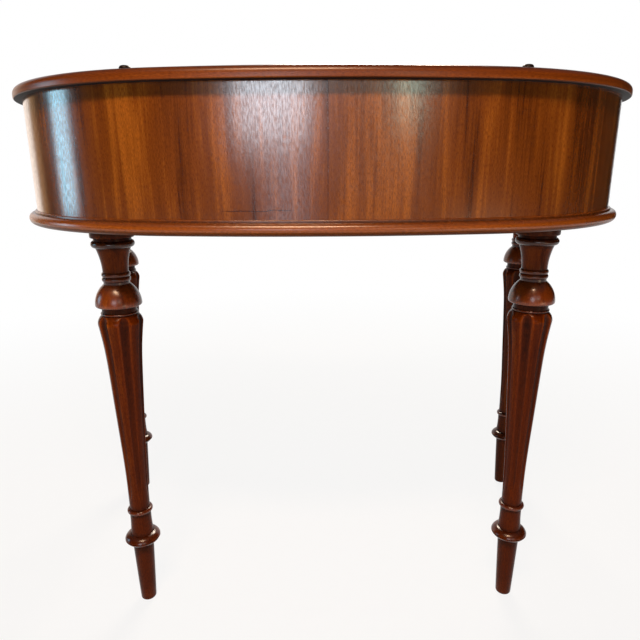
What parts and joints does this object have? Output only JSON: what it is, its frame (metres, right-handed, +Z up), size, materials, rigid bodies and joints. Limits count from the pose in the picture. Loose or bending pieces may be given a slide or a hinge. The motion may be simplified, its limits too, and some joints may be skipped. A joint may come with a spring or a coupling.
{
  "type": "kidney-shaped desk",
  "caption": "Kidney-shaped mahogany writing desk with a veneered bowed frieze, moulded edges, sliding drawers in its concave side and turned, fluted legs",
  "frame": {"origin": "on the floor, under the middle of the desk's width and depth", "axes": "+Z up from the floor. +X runs along the desk's length, to the right as seen from its convex back. +Y points from the convex back to the concave knee side, the way the drawers open."},
  "size_m": [0.9176, 0.5301, 0.7664],
  "materials": {
    "mahogany": "French-polished solid mahogany, red-brown",
    "mahogany_veneer": "French-polished ribbon-stripe veneer",
    "carcase_wood": "plain unpolished secondary timber",
    "drawer_lining": "planed oak drawer lining, waxed",
    "leather": "dark green skiver with a tooled border",
    "dark_stud": "near-black polished turned stud",
    "brass": "aged, softly polished",
    "steel": "plain steel wood screw"
  },
  "bodies": {
    "desk": {"top_board": "mahogany", "leather_inset": "leather", "top_studs": "dark_stud", "frieze_core": "carcase_wood", "veneer_right": "mahogany_veneer", "veneer_left": "mahogany_veneer", "base_board": "mahogany", "kickers": "carcase_wood", "drawer_stops": "carcase_wood", "top_blocks": "carcase_wood", "top_screws": "steel", "base_screws": "steel", "top_rail_centre": "mahogany", "partition_right": "mahogany", "stile_right": "mahogany", "drawer_guide_right": "carcase_wood", "top_rail_right": "mahogany", "partition_left": "mahogany", "stile_left": "mahogany", "drawer_guide_left": "carcase_wood", "top_rail_left": "mahogany", "leg_back_right": "mahogany", "leg_block_back_right": "carcase_wood", "leg_back_left": "mahogany", "leg_block_back_left": "carcase_wood", "leg_front_right": "mahogany", "leg_block_front_right": "carcase_wood", "leg_front_left": "mahogany", "leg_block_front_left": "carcase_wood"},
    "drawer_centre": {"drawer_centre_front": "mahogany_veneer", "drawer_centre_side_left": "drawer_lining", "drawer_centre_side_right": "drawer_lining", "drawer_centre_back": "drawer_lining", "drawer_centre_bottom": "drawer_lining", "drawer_centre_knobs": "mahogany", "drawer_centre_lock": "brass", "drawer_centre_keyhole_plate": "brass"},
    "drawer_right": {"drawer_right_front": "mahogany_veneer", "drawer_right_side_left": "drawer_lining", "drawer_right_side_right": "drawer_lining", "drawer_right_back": "drawer_lining", "drawer_right_bottom": "drawer_lining", "drawer_right_knobs": "mahogany", "drawer_right_lock": "brass", "drawer_right_keyhole_plate": "brass"},
    "drawer_left": {"drawer_left_front": "mahogany_veneer", "drawer_left_side_left": "drawer_lining", "drawer_left_side_right": "drawer_lining", "drawer_left_back": "drawer_lining", "drawer_left_bottom": "drawer_lining", "drawer_left_knobs": "mahogany", "drawer_left_lock": "brass", "drawer_left_keyhole_plate": "brass"}
  },
  "joints": [
    {"name": "centre_drawer_slide", "type": "slide", "parent": "desk", "child": "drawer_centre", "axis": [0, 1, 0], "range_m": [0, 0.26]},
    {"name": "right_drawer_slide", "type": "slide", "parent": "desk", "child": "drawer_right", "axis": [0, 1, 0], "range_m": [0, 0.24]},
    {"name": "left_drawer_slide", "type": "slide", "parent": "desk", "child": "drawer_left", "axis": [0, 1, 0], "range_m": [0, 0.24]}
  ]
}
